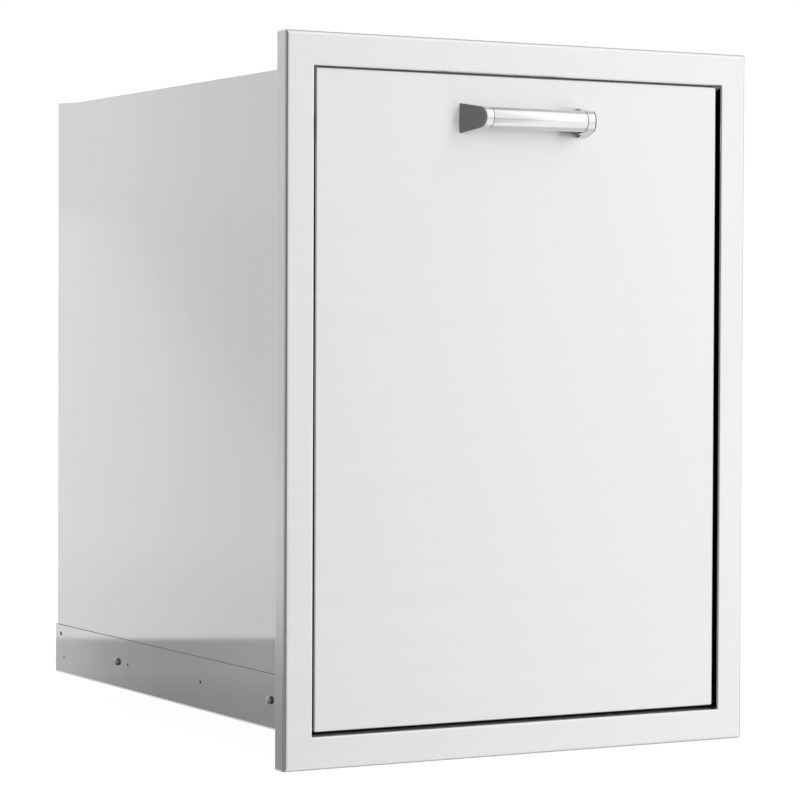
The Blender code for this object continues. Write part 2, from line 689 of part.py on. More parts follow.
def door_brace(drawer):
    x = TRAY_X - SHEET - GAP
    low_z = TRAY_FLOOR_Z + GAP
    foot = [(x - BRACE_FLANGE, TRAY_FRONT_Y), (x, TRAY_FRONT_Y), (x, TRAY_FRONT_Y + BRACE_FOOT)]
    head = [(x - BRACE_FLANGE, TRAY_FRONT_Y), (x, TRAY_FRONT_Y), (x, TRAY_FRONT_Y + BRACE_HEAD)]
    shoulder_z = TRAY_Z + TRAY_HEIGHT + BRACE_SHOULDER
    loops = [
        [Vector((px, py, low_z)) for px, py in foot],
        [Vector((px, py, shoulder_z)) for px, py in foot],
        [Vector((px, py, BRACE_TOP_Z)) for px, py in head],
    ]
    at = (x, TRAY_FRONT_Y, low_z)
    brace = fold("door_brace_right", loops, steel, drawer, at, BRACE_SHEET, TOP_RADIUS)
    drill(brace, [((x, TRAY_SCREWS_Y[0], SLIDE_Z), (1, 0, 0), BRACE_HOLE, 8 * MM)])
    mirrored(brace, "door_brace_left", drawer)


def bin_divider(drawer):
    half = TRAY_X - SHEET - GAP
    low = TRAY_FLOOR_Z + GAP
    section = [
        (DIVIDER_Y - DIVIDER_WIDTH / 2, low),
        (DIVIDER_Y - DIVIDER_WIDTH / 2, low + DIVIDER_HEIGHT),
        (DIVIDER_Y + DIVIDER_WIDTH / 2, low + DIVIDER_HEIGHT),
        (DIVIDER_Y + DIVIDER_WIDTH / 2, low),
    ]
    near = [Vector((-half, y, z)) for y, z in section]
    far = [Vector((half, y, z)) for y, z in section]
    fold("bin_divider", [near, far], steel, drawer, (0, DIVIDER_Y, low), SHEET, PAN_RADIUS)


def plastic_bin(name, middle_y):
    low = TRAY_FLOOR_Z + GAP
    centre = Vector((0, middle_y, 0))
    width = BIN_WIDTH - 2 * BIN_RIM
    length = BIN_LENGTH - 2 * BIN_RIM
    rim = BIN_RIM - BIN_WALL
    rim_z = BIN_HEIGHT - BIN_WALL

    def ring(grow, height, corner):
        at = centre + Vector((0, 0, low + height))
        return rounded_rectangle(width + 2 * grow, length + 2 * grow, corner, at)

    loops = [
        ring(-BIN_TAPER - BIN_CHAMFER, 0, BIN_CORNER - BIN_CHAMFER),
        ring(-BIN_TAPER, BIN_CHAMFER, BIN_CORNER),
        ring(0, rim_z, BIN_CORNER),
        ring(rim, rim_z, BIN_CORNER + rim),
        ring(rim, rim_z - BIN_LIP, BIN_CORNER + rim),
    ]
    empty = slide_empty(name + "_lift", (0, middle_y, low))
    at = (0, middle_y, low)
    fold(name, loops, plastic, empty, at, BIN_WALL, floor=True, closed=True, flip=True)


# ---------------------------------------------------------------- assembly
clear_scene()
parts = new_collection(OBJECT_COLLECTION)
cutters = new_collection(CUTTER_COLLECTION)
steel = material("brushed stainless steel", (0.80, 0.80, 0.80), 0.28, 1.0)
bright = material("polished steel", (0.88, 0.88, 0.88), 0.12, 1.0)
zinc = material("zinc-plated steel", (0.62, 0.63, 0.65), 0.35, 1.0)
dark = material("dark grey moulding", (0.12, 0.12, 0.12), 0.45, 0.0)
plastic = material("bin plastic", (0.06, 0.06, 0.065), 0.5, 0.0)

face_frame()
mirrored(side_panel(), "side_panel_left", None)
rear_panel()
top_panel()
base_pan()

drawer_empty = slide_empty("drawer_travel", (0, DOOR_FRONT_Y, SLIDE_Z))
slides(drawer_empty)
door_skin(drawer_empty)
door_liner(drawer_empty)
handle_tube(drawer_empty)
handle_bracket(drawer_empty)
handle_cap(drawer_empty)
handle_screws(drawer_empty)
bin_tray(drawer_empty)
door_brace(drawer_empty)
bin_divider(drawer_empty)
plastic_bin("bin_front", (BAY_FRONT_Y + DIVIDER_Y - DIVIDER_WIDTH / 2) / 2)
plastic_bin("bin_rear", (BAY_REAR_Y + DIVIDER_Y + DIVIDER_WIDTH / 2) / 2)
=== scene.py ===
# %% [markdown]
# # A built-in pull-out bin cabinet
#
# The real thing is a stainless-steel box that slides into a cut-out in a masonry or steel-framed
# island. A flanged frame covers the edge of the cut-out, and a drawer front with one short bar
# handle fills the frame. Behind it two lift-out bins stand in a tray on full-extension ball slides.
#
# The engineering model is the frame that everything here is dressed onto. Its pieces are in metres,
# +X to the cabinet's right, +Y towards its back and +Z up, and none of them is moved or reshaped.

import math

import bmesh
import bpy
from mathutils import Matrix, Vector


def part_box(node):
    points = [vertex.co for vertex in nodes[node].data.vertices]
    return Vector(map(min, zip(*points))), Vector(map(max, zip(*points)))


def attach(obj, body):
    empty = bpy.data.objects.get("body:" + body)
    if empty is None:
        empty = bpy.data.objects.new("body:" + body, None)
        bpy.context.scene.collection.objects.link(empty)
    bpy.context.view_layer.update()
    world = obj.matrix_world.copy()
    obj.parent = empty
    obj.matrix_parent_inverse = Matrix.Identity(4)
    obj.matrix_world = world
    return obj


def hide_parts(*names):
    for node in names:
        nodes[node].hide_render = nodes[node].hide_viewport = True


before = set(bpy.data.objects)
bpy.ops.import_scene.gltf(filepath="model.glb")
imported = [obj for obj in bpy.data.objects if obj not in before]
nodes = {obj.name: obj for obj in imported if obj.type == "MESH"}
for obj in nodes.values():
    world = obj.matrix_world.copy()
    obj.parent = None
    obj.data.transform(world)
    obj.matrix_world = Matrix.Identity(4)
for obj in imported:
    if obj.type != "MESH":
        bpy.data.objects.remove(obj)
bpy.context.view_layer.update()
MM = 0.001

# %% [markdown]
# ## Stainless steel with a grain
#
# Brushed steel is a mirror with fine parallel scratches. Along a scratch it stays a mirror, and
# across the scratches the reflection is smeared. That is what the Principled shader's anisotropy
# does: its tangent has to point across the grain, and no picture texture is needed. A stretched
# noise then gives each streak its own small difference in tone, in gloss and in height, because a
# perfectly even sheet looks like plastic.


# %% Small helpers for shader nodes
def new_material(name):
    made = bpy.data.materials.new(name)
    made.use_nodes = True
    return made, made.node_tree.nodes, made.node_tree.links


def add_node(nodes_of, kind, **settings):
    node = nodes_of.new(kind)
    for key, value in settings.items():
        setattr(node, key, value)
    return node


def math_node(nodes_of, links, operation, *values):
    node = add_node(nodes_of, "ShaderNodeMath", operation=operation)
    for socket, value in zip(node.inputs, values):
        if isinstance(value, (int, float)):
            socket.default_value = value
        else:
            links.new(value, socket)
    return node.outputs["Value"]


def noise(nodes_of, links, scale, detail, roughness=0.5, stretch=(1, 1, 1)):
    """Noise in the piece's own metres, squeezed or stretched along each axis."""
    place = add_node(nodes_of, "ShaderNodeTexCoord")
    squeeze = add_node(nodes_of, "ShaderNodeMapping")
    squeeze.inputs["Scale"].default_value = stretch
    links.new(place.outputs["Object"], squeeze.inputs["Vector"])
    texture = add_node(nodes_of, "ShaderNodeTexNoise")
    texture.inputs["Scale"].default_value = scale
    texture.inputs["Detail"].default_value = detail
    texture.inputs["Roughness"].default_value = roughness
    links.new(squeeze.outputs["Vector"], texture.inputs["Vector"])
    return texture.outputs["Fac"]


def remap(nodes_of, links, value, low, high, start=0.25, end=0.75):
    """Noise hovers about a half, so its middle is spread over low to high."""
    node = add_node(nodes_of, "ShaderNodeMapRange")
    for key, number in (("From Min", start), ("From Max", end), ("To Min", low), ("To Max", high)):
        node.inputs[key].default_value = number
    links.new(value, node.inputs["Value"])
    return node.outputs["Result"]


def grey_between(nodes_of, links, value, dark, light):
    """A colour that runs from dark to light with value."""
    ramp = add_node(nodes_of, "ShaderNodeValToRGB")
    ramp.color_ramp.elements[0].position = 0.3
    ramp.color_ramp.elements[0].color = (*dark, 1)
    ramp.color_ramp.elements[1].position = 0.7
    ramp.color_ramp.elements[1].color = (*light, 1)
    links.new(value, ramp.inputs["Fac"])
    return ramp.outputs["Color"]


def across_grain(nodes_of, links, grain):
    """Across the grain in each face: its normal crossed with the grain, or a set way on a cut end."""
    along = [0.0, 0.0, 0.0]
    along[grain] = 1.0
    end_face = [0.0, 0.0, 0.0]
    end_face[2 if grain == 0 else grain - 1] = 0.01
    face = add_node(nodes_of, "ShaderNodeNewGeometry")
    cross = add_node(nodes_of, "ShaderNodeVectorMath", operation="CROSS_PRODUCT")
    cross.inputs[1].default_value = along
    links.new(face.outputs["Normal"], cross.inputs[0])
    nudge = add_node(nodes_of, "ShaderNodeVectorMath", operation="ADD")
    nudge.inputs[1].default_value = end_face
    links.new(cross.outputs["Vector"], nudge.inputs[0])
    return nudge.outputs["Vector"]


# %% Brushed steel
def brushed_steel(
        name, grain, tone, roughness, anisotropy, streak=0.02, ripple=0.0, scratch=0.03, side_gloss=1.0):
    """Steel whose grain runs along one axis, 0 for X, 1 for Y and 2 for Z; its side faces can be glossier."""
    made, n, links = new_material(name)
    shader = n["Principled BSDF"]
    shader.inputs["Metallic"].default_value = 1.0
    shader.inputs["Anisotropic"].default_value = anisotropy
    stretch = [1.0, 1.0, 1.0]
    stretch[grain] = 0.02
    fine = noise(n, links, 700, 4, 0.7, stretch)
    broad = noise(n, links, 60, 3, 0.6, stretch)
    mixed = math_node(n, links, "MULTIPLY_ADD", fine, 0.5, math_node(n, links, "MULTIPLY", broad, 0.5))
    low = [c * (1 - streak) for c in tone]
    high = [min(1.0, c * (1 + streak)) for c in tone]
    links.new(grey_between(n, links, mixed, low, high), shader.inputs["Base Color"])
    gloss = remap(n, links, mixed, roughness * 0.85, roughness * 1.15)
    if side_gloss != 1.0:
        facing = add_node(n, "ShaderNodeNewGeometry")
        across = add_node(n, "ShaderNodeSeparateXYZ")
        links.new(facing.outputs["Normal"], across.inputs["Vector"])
        sideways = math_node(n, links, "ABSOLUTE", across.outputs["X"])
        share = remap(n, links, sideways, 1.0, side_gloss, 0.15, 0.6)
        gloss = math_node(n, links, "MULTIPLY", gloss, share)
    links.new(gloss, shader.inputs["Roughness"])
    links.new(across_grain(n, links, grain), shader.inputs["Tangent"])
    lines = add_node(n, "ShaderNodeBump")
    lines.inputs["Strength"].default_value = scratch
    lines.inputs["Distance"].default_value = 0.1 * MM
    links.new(fine, lines.inputs["Height"])
    if ripple:
        waves = add_node(n, "ShaderNodeBump")
        waves.inputs["Strength"].default_value = 1.0
        waves.inputs["Distance"].default_value = ripple
        slow = noise(n, links, 2.6, 0, 0.4, (1, 1, 0.5))
        links.new(slow, waves.inputs["Height"])
        links.new(waves.outputs["Normal"], lines.inputs["Normal"])
    links.new(lines.outputs["Normal"], shader.inputs["Normal"])
    print("made", name)
    return made


steel_tone = (0.67, 0.67, 0.67)
front_steel = brushed_steel("front_steel_grain_across", 0, steel_tone, 0.30, 0.9, side_gloss=0.28)
box_steel = brushed_steel(
    "box_steel_grain_upright", 2, (0.69, 0.69, 0.69), 0.05, 1.0, streak=0.012, ripple=0.8 * MM, scratch=0.012)
top_steel = brushed_steel("top_steel_grain_lengthwise", 1, steel_tone, 0.16, 0.9)
inner_steel = brushed_steel("inner_steel_mill_finish", 1, (0.66, 0.66, 0.67), 0.5, 0.3)
# painted shade: the skirt's cut top edge is toned dark for the shade line along its lap joint; its roughness
# is the cut edge's own
skirt_edge_painted_shade = brushed_steel("cut_edge_painted_joint_shade", 1, (0.20, 0.20, 0.20), 0.5, 0.3)


# %% [markdown]
# ## Polished, plated and moulded finishes
#
# The handle is polished and plated, so it is brighter than the sheet steel and nearly a mirror.
# The slides are zinc plated, which is a duller blue-grey with small crystals in it. The handle's
# inlays and the bins are moulded plastic with a fine grain that breaks up the highlight.


# %% Polished steel, zinc plate and plastic
def polished_steel(name, tone, roughness):
    made, n, links = new_material(name)
    shader = n["Principled BSDF"]
    shader.inputs["Metallic"].default_value = 1.0
    haze = noise(n, links, 220, 4, 0.6)
    links.new(grey_between(n, links, haze, [c * 0.98 for c in tone], tone), shader.inputs["Base Color"])
    links.new(remap(n, links, haze, roughness * 0.8, roughness * 1.2), shader.inputs["Roughness"])
    print("made", name)
    return made


def zinc_plate(name, dark, light, smoothest, roughest):
    made, n, links = new_material(name)
    shader = n["Principled BSDF"]
    shader.inputs["Metallic"].default_value = 1.0
    cells = noise(n, links, 420, 5, 0.7)
    links.new(grey_between(n, links, cells, dark, light), shader.inputs["Base Color"])
    links.new(remap(n, links, cells, smoothest, roughest), shader.inputs["Roughness"])
    lumps = add_node(n, "ShaderNodeBump")
    lumps.inputs["Strength"].default_value = 0.08
    lumps.inputs["Distance"].default_value = 0.1 * MM
    links.new(cells, lumps.inputs["Height"])
    links.new(lumps.outputs["Normal"], shader.inputs["Normal"])
    print("made", name)
    return made


def moulded_plastic(name, dark, light, roughness, grain_scale, depth):
    made, n, links = new_material(name)
    shader = n["Principled BSDF"]
    shader.inputs["Specular IOR Level"].default_value = 0.4
    pebbles = noise(n, links, grain_scale, 3, 0.6)
    cloud = noise(n, links, 9, 3, 0.5)
    links.new(grey_between(n, links, cloud, dark, light), shader.inputs["Base Color"])
    links.new(remap(n, links, pebbles, roughness * 0.85, roughness * 1.15), shader.inputs["Roughness"])
    texture = add_node(n, "ShaderNodeBump")
    texture.inputs["Strength"].default_value = 0.25
    texture.inputs["Distance"].default_value = depth
    links.new(pebbles, texture.inputs["Height"])
    links.new(texture.outputs["Normal"], shader.inputs["Normal"])
    print("made", name)
    return made


polish = polished_steel("polished_steel", (0.86, 0.86, 0.86), 0.08)
cast = polished_steel("satin_handle_bracket", (0.68, 0.68, 0.68), 0.16)
satin = polished_steel("satin_handle_bar", (0.69, 0.69, 0.69), 0.14)
zinc = zinc_plate("zinc_plated_steel", (0.44, 0.45, 0.47), (0.56, 0.57, 0.60), 0.26, 0.42)
inlay = moulded_plastic(
    "dark_grey_handle_inlay", (0.165, 0.165, 0.167), (0.185, 0.185, 0.187), 0.42, 2600, 0.05 * MM)
bin_plastic = moulded_plastic(
    "bin_plastic_dark", (0.035, 0.036, 0.038), (0.048, 0.049, 0.052), 0.5, 1500, 0.12 * MM)

# %% [markdown]
# ## Dressing the pieces
#
# A piece of the engineering model keeps its mesh and only gets its finish. Which finish each one
# has follows from how the cabinet is made: the front is one grade of brushed sheet, the box another
# with its grain upright, and the running gear is plated.

# %% Give every piece its finish
FINISHES = (
    (front_steel, ("face_frame", "door_skin")),
    (box_steel, ("side_panel", "rear_panel", "base_pan")),
    (top_steel, ("top_panel",)),
    (inner_steel, ("door_liner", "bin_tray", "door_brace", "bin_divider")),
    (cast, ("handle_bracket",)),
    (satin, ("handle_tube",)),
    (inlay, ("handle_cap",)),
    (zinc, ("slide_", "ball_cage", "handle_screw", "tray_screw")),
    (bin_plastic, ("bin_front", "bin_rear")),
)


def finish_for(name):
    for finish, starts in FINISHES:
        if name.startswith(starts):
            return finish
    raise ValueError(name)


def dress(obj, finish):
    obj.data.materials.clear()
    obj.data.materials.append(finish)


def dress_faces(obj, finish, wanted):
    """Gives a second finish to the faces whose normal and middle are wanted."""
    obj.data.materials.append(finish)
    second = len(obj.data.materials) - 1
    for face in obj.data.polygons:
        if wanted(face.normal, face.center):
            face.material_index = second


for name, node in nodes.items():
    dress(node, finish_for(name))

# only the outsides of the box are brushed; the skirt's cut upper edge is rough, and its dark tone is painted
# shade along the lap joint
SKIRT_EDGE = 30 * MM             # faces of the base pan above this are on its skirt, not its floor
dress_faces(nodes["side_panel_left"], inner_steel, lambda way, at: way.x > 0.5)
dress_faces(nodes["side_panel_right"], inner_steel, lambda way, at: way.x < -0.5)
dress_faces(nodes["top_panel"], inner_steel, lambda way, at: way.z < -0.5)
dress_faces(nodes["rear_panel"], inner_steel, lambda way, at: way.y < -0.5)
dress_faces(nodes["base_pan"], inner_steel, lambda way, at: way.z > 0.5 and at.z < SKIRT_EDGE)
dress_faces(nodes["base_pan"], skirt_edge_painted_shade, lambda way, at: way.z > 0.5 and at.z > SKIRT_EDGE)
print("dressed", len(nodes), "pieces")

# %% [markdown]
# ## Tools for the small pieces
#
# The screws, nuts, balls and handle parts are small enough that their rounded edges make the
# difference between a toy and a machine. Each is turned from a profile, built up from outlines
# between two faces or made of spheres, and its edges are rounded in its profile or with a Bevel modifier.


# %% Make a piece from a mesh under construction
def keep(name, bm, finish, body, smooth_angle=35):
    """Turns a bmesh into a finished piece that rides on a body."""
    bmesh.ops.recalc_face_normals(bm, faces=bm.faces)
    mesh = bpy.data.meshes.new(name)
    bm.to_mesh(mesh)
    bm.free()
    mesh.materials.append(finish)
    mesh.shade_smooth()
    mesh.set_sharp_from_angle(angle=math.radians(smooth_angle))
    piece = bpy.data.objects.new(name, mesh)
    bpy.context.scene.collection.objects.link(piece)
    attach(piece, body)
    return piece


def round_edges(piece, width, segments=3, angle=40):
    bevel = piece.modifiers.new("rounded edges", "BEVEL")
    bevel.width = width
    bevel.segments = segments
    bevel.limit_method = "ANGLE"
    bevel.angle_limit = math.radians(angle)
    bevel.harden_normals = True
    return piece


def turned(bm, profile, steps, place, direction, ring=False):
    """Turns (radius, height) points into a solid that stands at a place along a direction."""
    rings = []
    for radius, up in profile:
        if radius == 0:
            rings.append([bm.verts.new((0, 0, up))])
            continue
        angles = [2 * math.pi * i / steps for i in range(steps)]
        rings.append([bm.verts.new((radius * math.cos(a), radius * math.sin(a), up)) for a in angles])
    for first, second in zip(rings, rings[1:] + (rings[:1] if ring else [])):
        for i in range(steps):
            j = (i + 1) % steps
            corners = (
                first[i % len(first)], first[j % len(first)],
                second[j % len(second)], second[i % len(second)])
            bm.faces.new(list(dict.fromkeys(corners)))
    stand = Vector(direction).to_track_quat("Z", "Y").to_matrix().to_4x4()
    made = [vert for level in rings for vert in level]
    bmesh.ops.transform(bm, matrix=Matrix.Translation(place) @ stand, verts=made)
    return made


# %% [markdown]
# ## The handle
#
# A short polished bar is held between two cast brackets. Seen from the end, a bracket is round
# about the bar and widens in straight lines to a foot on the door. Seen from above, its outer face
# flares outwards to the foot. A dark inlay covers that whole face. Each shape is the engineering
# piece's own, drawn again with finer steps and with its edges rounded.

# %% Measure the handle on the engineering model
bar_low, bar_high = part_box("handle_tube")
BAR_RADIUS = (bar_high.z - bar_low.z) / 2
BAR = (bar_low + bar_high) / 2
BAR_HALF = bar_high.x
cap_low, cap_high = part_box("handle_cap_right")
CAP_THICK = 1.2 * MM
FOOT_Y = cap_high.y
FOOT_HALF = (cap_high.z - cap_low.z) / 2
NOSE_X = cap_low.x + CAP_THICK
FLARE = (cap_high.x - NOSE_X) / (FOOT_Y - cap_low.y)
SEAM = 0.3 * MM
flare_angle = math.degrees(math.atan(FLARE))
print("bar", round(2 * BAR_HALF / MM, 1), "mm long, flare", round(flare_angle, 1), "degrees")


# %% The handle's outline and its flared face
def bracket_stations(foot_shrink=0.0, nose_shrink=0.0, steps=28):
    """(distance behind the bar's axis, half height) from the foot to the tip of the nose."""
    reach = FOOT_Y - BAR.y
    foot = FOOT_HALF - foot_shrink
    radius = BAR_RADIUS - nose_shrink
    tangent = math.atan2(foot, reach) + math.acos(radius / math.hypot(foot, reach))
    meet = Vector((radius * math.cos(tangent), radius * math.sin(tangent)))
    stations = [(reach, foot)]
    for past_bar in (2.2, 1.4, 0.6, 0.0):
        y = BAR_RADIUS + past_bar * MM
        share = (y - meet.x) / (reach - meet.x)
        stations.append((y, meet.y + share * (foot - meet.y)))
    for step in range(steps):
        angle = tangent + (math.pi - tangent) * step / steps
        stations.append((radius * math.cos(angle), radius * math.sin(angle)))
    stations.append((-radius, 0.0))
    return stations


def face_x(y):
    """Where the flared outer face is, for a distance behind the bar's axis."""
    return NOSE_X + FLARE * (y + BAR_RADIUS)


def flared_block(bm, side, stations, inner, outer, dome=0.0, across=8):
    """A block between two faces, each a function of y, whose height follows the stations."""
    rows = []
    for y, half in stations:
        shares = [2 * i / across - 1 for i in range(across + 1)]
        if half == 0:
            shares = [0.0]
        corners = [(inner(y), half * shares[-1])] + [(inner(y), half * shares[0])][:len(shares) - 1]
        corners += [(outer(y) - dome * (half * share / FOOT_HALF) ** 2, half * share) for share in shares]
        made = [bm.verts.new((side * x, BAR.y + y, BAR.z + z)) for x, z in corners]
        rows.append(made if half else [made[0]] * 2 + [made[1]] * (across + 1))
    bm.faces.new(rows[0])
    for first, second in zip(rows, rows[1:]):
        for i in range(len(first)):
            j = (i + 1) % len(first)
            bm.faces.new(list(dict.fromkeys((first[i], first[j], second[j], second[i]))))


# %% Brackets, inlays and bar
LEG = 9.8 * MM                   # a bracket's thickness behind the bar
INLAY_DEPTH = 1.5 * MM
DOME = 0.6 * MM                  # an inlay's edges lie this much lower than its middle


def leg_inner(y):
    """The bracket meets the bar's end squarely, and behind the bar it thins to a leg."""
    behind = max(0.0, min(1.0, (y - BAR_RADIUS) / (2.2 * MM)))
    ease = math.sin(behind * math.pi / 2)
    return (BAR_HALF + SEAM) * (1 - ease) + (face_x(y) - LEG) * ease


for side, suffix in ((-1, "left"), (1, "right")):
    bm = bmesh.new()
    flared_block(bm, side, bracket_stations(), leg_inner, lambda y: face_x(y) - INLAY_DEPTH)
    bracket = keep("handle_bracket_body_" + suffix, bm, cast, "drawer", 30)
    round_edges(bracket, 0.3 * MM)
    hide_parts("handle_bracket_" + suffix)

    bm = bmesh.new()
    inset = bracket_stations(0.1 * MM, 0.35 * MM)
    flared_block(bm, side, inset, lambda y: face_x(y) - CAP_THICK, face_x, DOME)
    cap = keep("handle_inlay_" + suffix, bm, inlay, "drawer", 30)
    round_edges(cap, 0.3 * MM, 4)
    cap.visible_glossy = False
    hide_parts("handle_cap_" + suffix)

bm = bmesh.new()
WALL = 1.5 * MM
EASE = 0.4 * MM
END = BAR_HALF - 0.25 * MM       # leaves a fine dark seam at each bracket
turns = (0, 0.5, 1.0, math.pi / 2)
corner = [(BAR_RADIUS - EASE * (1 - math.sin(a)), END - EASE * (1 - math.cos(a))) for a in turns]
profile = [(BAR_RADIUS - WALL, END)] + corner
profile += [(r, -up) for r, up in reversed(profile)]
turned(bm, profile, 96, BAR, (1, 0, 0), ring=True)
bar = keep("handle_bar", bm, satin, "drawer", 30)
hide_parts("handle_tube")
print("made the handle")

# %% [markdown]
# ## Screws and nuts
#
# Each slide is held by screws whose heads are inside and whose nuts stand on the box's outside. The
# tray, its two braces and the drawer front are joined with pan-head screws. A head is turned from a
# profile and its cross recess is cut with a Boolean. A nut is a hexagon whose corners are turned
# away, and a low dome closes its outer end, so that no sharp screw end stands out of the box.
#
# The cutter is one closed cross. Two bars laid across each other would meet inside it, and a
# Boolean with a cutter like that can leave nothing of the screw.


# %% Pan-head screws
def cross_cutter(half_arm, half_width, depth):
    """A cross that tapers to the bottom, for the recess in a screw's head."""
    arm = ((half_arm, -half_width), (half_arm, half_width), (half_width, half_width))
    bm = bmesh.new()
    upper, lower = [], []
    for cos, sin in ((1, 0), (0, 1), (-1, 0), (0, -1)):
        for x, y in arm:
            across, along = x * cos - y * sin, x * sin + y * cos
            upper.append(bm.verts.new((across, along, depth)))
            lower.append(bm.verts.new((across * 0.45, along * 0.45, -depth)))
    bm.faces.new(upper)
    bm.faces.new(lower)
    for k in range(len(upper)):
        after = (k + 1) % len(upper)
        bm.faces.new((upper[k], upper[after], lower[after], lower[k]))
    bmesh.ops.recalc_face_normals(bm, faces=bm.faces)
    return bm


def pan_head(name, place, direction, radius, rise, shank, length, body, replaced=None):
    """A screw whose head's underside is at place and whose shank points along direction."""
    bm = bmesh.new()
    thread = []
    for turn_of in range(int(length / (0.8 * MM))):
        down = -0.8 * MM * turn_of
        thread += [(shank, down - 0.15 * MM), (shank, down - 0.25 * MM), (shank * 0.84, down - 0.6 * MM)]
    head = [(0, rise), (radius * 0.35, rise * 0.98), (radius * 0.68, rise * 0.84),
            (radius * 0.9, rise * 0.55), (radius, rise * 0.2), (radius, 0.0)]
    turned(bm, head + thread + [(shank * 0.7, -length), (0, -length)], 32, (0, 0, 0), (0, 0, 1))
    piece = keep(name, bm, zinc, body)
    cutter_bm = cross_cutter(radius * 0.55, radius * 0.13, rise * 0.75)
    bmesh.ops.transform(cutter_bm, matrix=Matrix.Translation((0, 0, rise)), verts=cutter_bm.verts)
    cutter_mesh = bpy.data.meshes.new(name + "_recess")
    cutter_bm.to_mesh(cutter_mesh)
    cutter_bm.free()
    cutter = bpy.data.objects.new(name + "_recess", cutter_mesh)
    bpy.context.scene.collection.objects.link(cutter)
    cut = piece.modifiers.new("recess", "BOOLEAN")
    cut.object = cutter
    bpy.context.view_layer.update()
    shaped = bpy.data.meshes.new_from_object(piece.evaluated_get(bpy.context.evaluated_depsgraph_get()))
    if not shaped.polygons:
        raise ValueError(name + " lost its mesh to its recess")
    piece.modifiers.clear()
    piece.data = shaped
    bpy.data.objects.remove(cutter)
    stand = Vector(-Vector(direction)).to_track_quat("Z", "Y").to_matrix().to_4x4()
    piece.data.transform(Matrix.Translation(place) @ stand)
    piece.data.materials.clear()
    piece.data.materials.append(zinc)
    if replaced:
        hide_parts(replaced)
    return piece


CAP_OF_NUT = 1.6 * MM            # the closed end of a cap nut, which the screw stops short of


def screw_for(node, direction, head_rise):
    """Draws an engineering screw again: its size comes from its box, its head is at the box's near end."""
    low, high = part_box(node)
    way = Vector(direction)
    axis = [abs(c) for c in way].index(1.0)
    radius = (high[(axis + 1) % 3] - low[(axis + 1) % 3]) / 2
    place = (low + high) / 2
    place[axis] = low[axis] if way[axis] > 0 else high[axis]
    place[axis] += way[axis] * head_rise
    length = high[axis] - low[axis] - head_rise - (CAP_OF_NUT if node.startswith("slide") else 0)
    body = "drawer" if node.startswith(("handle", "tray")) else "cabinet"
    shank = (2.4 if node.startswith("slide") else 2.0) * MM
    return pan_head(node + "_body", place, way, radius, head_rise, shank, length, body, node)


count = 0
for side, suffix in ((-1, "left"), (1, "right")):
    screw_for("handle_screw_" + suffix, (0, -1, 0), 2.2 * MM)
    for end in ("front", "rear"):
        screw_for(f"slide_screw_{suffix}_{end}", (side, 0, 0), 1.1 * MM)
        screw_for(f"tray_screw_{suffix}_{end}", (-side, 0, 0), 1.4 * MM)
        count += 2
    count += 1
print("made", count, "screws")


# %% Low cap nuts
def cap_nut(node, side, steps=72):
    """A hexagon that a dome closes, standing out along X."""
    low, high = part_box(node)
    flats = (high.z - low.z) / 2
    rise = high.x - low.x
    bm = bmesh.new()
    rings = []
    for share, reach in ((0.0, 0.97), (0.06, 1.05), (0.14, 1.2), (0.34, 1.2), (0.44, 1.08)):
        rings.append((share * rise, reach))
    for step in range(9):
        lean = math.radians(90) * step / 9
        rings.append(((0.46 + 0.54 * math.sin(lean)) * rise, 0.94 * math.cos(lean)))
    levels = []
    for up, reach in rings:
        level_ring = []
        for i in range(steps):
            angle = 2 * math.pi * i / steps
            from_flat = (angle + math.pi / 6) % (math.pi / 3) - math.pi / 6
            radius = flats * min(1 / math.cos(from_flat), reach)
            level_ring.append(bm.verts.new((radius * math.cos(angle), radius * math.sin(angle), up)))
        levels.append(level_ring)
    levels.append([bm.verts.new((0, 0, rise))])
    bm.faces.new(levels[0])
    for first, second in zip(levels, levels[1:]):
        for i in range(steps):
            j = (i + 1) % steps
            corners = (first[i], first[j], second[j % len(second)], second[i % len(second)])
            bm.faces.new(list(dict.fromkeys(corners)))
    stand = Vector((side, 0, 0)).to_track_quat("Z", "Y").to_matrix().to_4x4()
    seat = Vector((low.x if side > 0 else high.x, (low.y + high.y) / 2, (low.z + high.z) / 2))
    quarter = Matrix.Rotation(math.radians(90), 4, "Z")
    bmesh.ops.transform(bm, matrix=Matrix.Translation(seat) @ stand @ quarter, verts=bm.verts)
    nut = keep(node + "_body", bm, nut_zinc, "cabinet", 32)
    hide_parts(node)


nut_zinc = zinc_plate("zinc_plated_nut", (0.40, 0.40, 0.41), (0.44, 0.44, 0.45), 0.20, 0.24)
for side, suffix in ((-1, "left"), (1, "right")):
    for end in ("front", "rear"):
        cap_nut(f"slide_nut_{suffix}_{end}", side)
print("made 4 nuts")

# %% Screws of the tray, the braces and the drawer front
tray_low, tray_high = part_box("bin_tray")
brace_low, brace_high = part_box("door_brace_right")
BRACE_SHEET = 1.5 * MM
HEAD = (4.0 * MM, 1.6 * MM, 2.0 * MM, 3.2 * MM)     # radius, rise, shank and length
for side, suffix in ((-1, "left"), (1, "right")):
    flange_x = side * (brace_low.x + brace_high.x - 2.5 * MM) / 2
    for number, z in enumerate((110 * MM, 205 * MM, 300 * MM)):
        place = (flange_x, brace_low.y + BRACE_SHEET, z)
        pan_head(f"brace_screw_{suffix}_{number}", place, (0, -1, 0), *HEAD, "drawer")
    web_x = side * (brace_high.x - BRACE_SHEET)
    for number, y in enumerate((brace_low.y + 45 * MM, brace_low.y + 68 * MM)):
        place = (web_x, y, 50 * MM)
        pan_head(f"tray_brace_screw_{suffix}_{number}", place, (side, 0, 0), *HEAD, "drawer")
print("made 10 more screws")

# %% [markdown]
# ## Ball cages
#
# A full-extension slide runs on two rows of steel balls on each side of its middle member. A thin
# pressed cage keeps the balls apart. The cage's channel is there already; what makes it a ball cage
# is the row of polished balls standing through it, a little proud on both faces.


